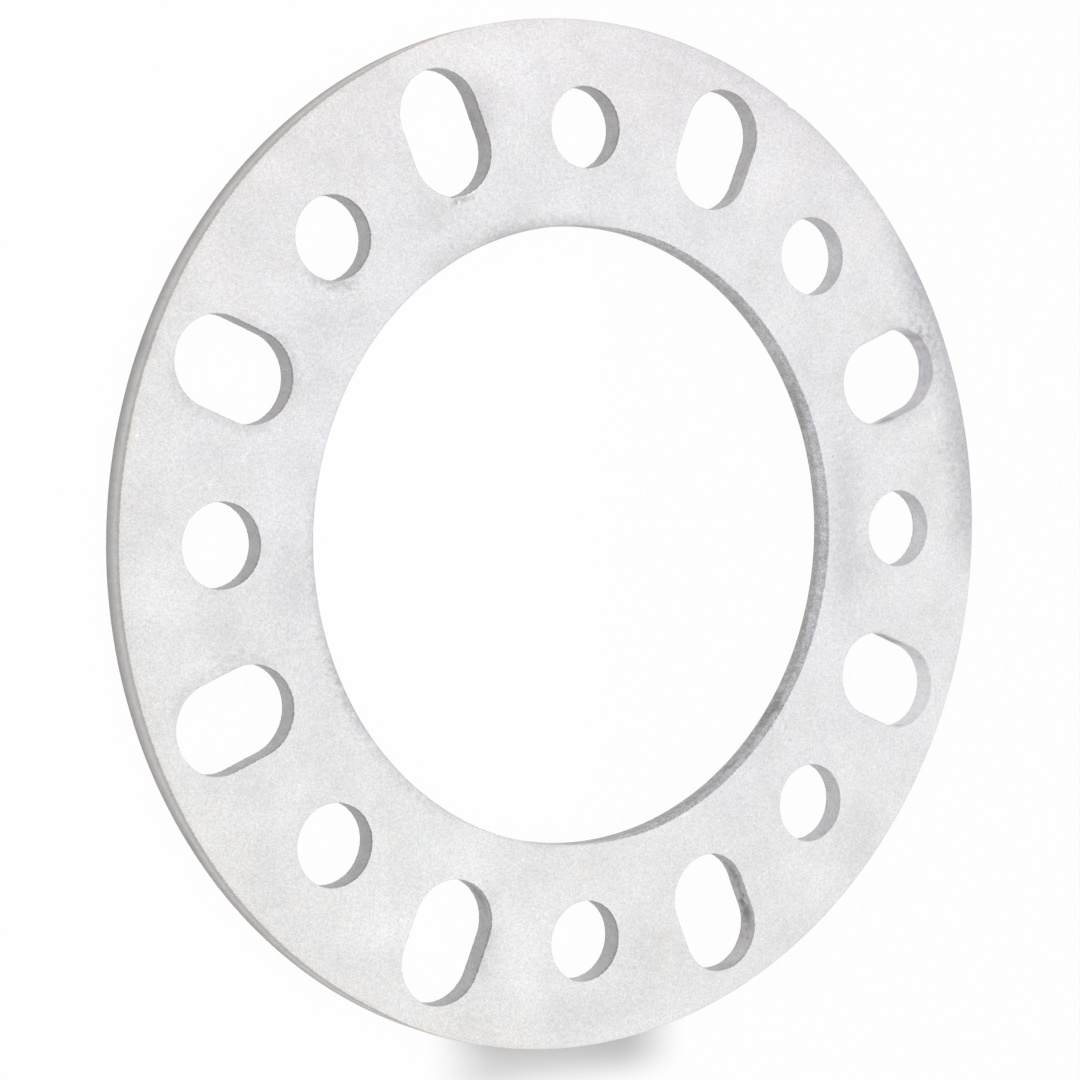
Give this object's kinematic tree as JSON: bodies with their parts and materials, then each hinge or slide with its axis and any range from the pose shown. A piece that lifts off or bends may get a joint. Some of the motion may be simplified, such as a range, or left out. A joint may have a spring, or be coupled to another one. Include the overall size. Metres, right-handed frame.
{
  "type": "wheel spacer",
  "caption": "Flat aluminium ring that spaces a wheel off its hub, with a large centre bore, round stud holes and radial stud slots between them.",
  "frame": {"origin": "centre of the bore on the hub face, which lies on the ground plane", "axes": "+Z along the bore axis from the hub face to the wheel face, +X through the centre of a round stud hole"},
  "size_m": [0.2084, 0.2084, 0.005],
  "materials": {
    "blasted_aluminium": "bead-blasted, pale grey and matte"
  },
  "bodies": {
    "root": {"spacer_ring": "blasted_aluminium"}
  },
  "joints": []
}
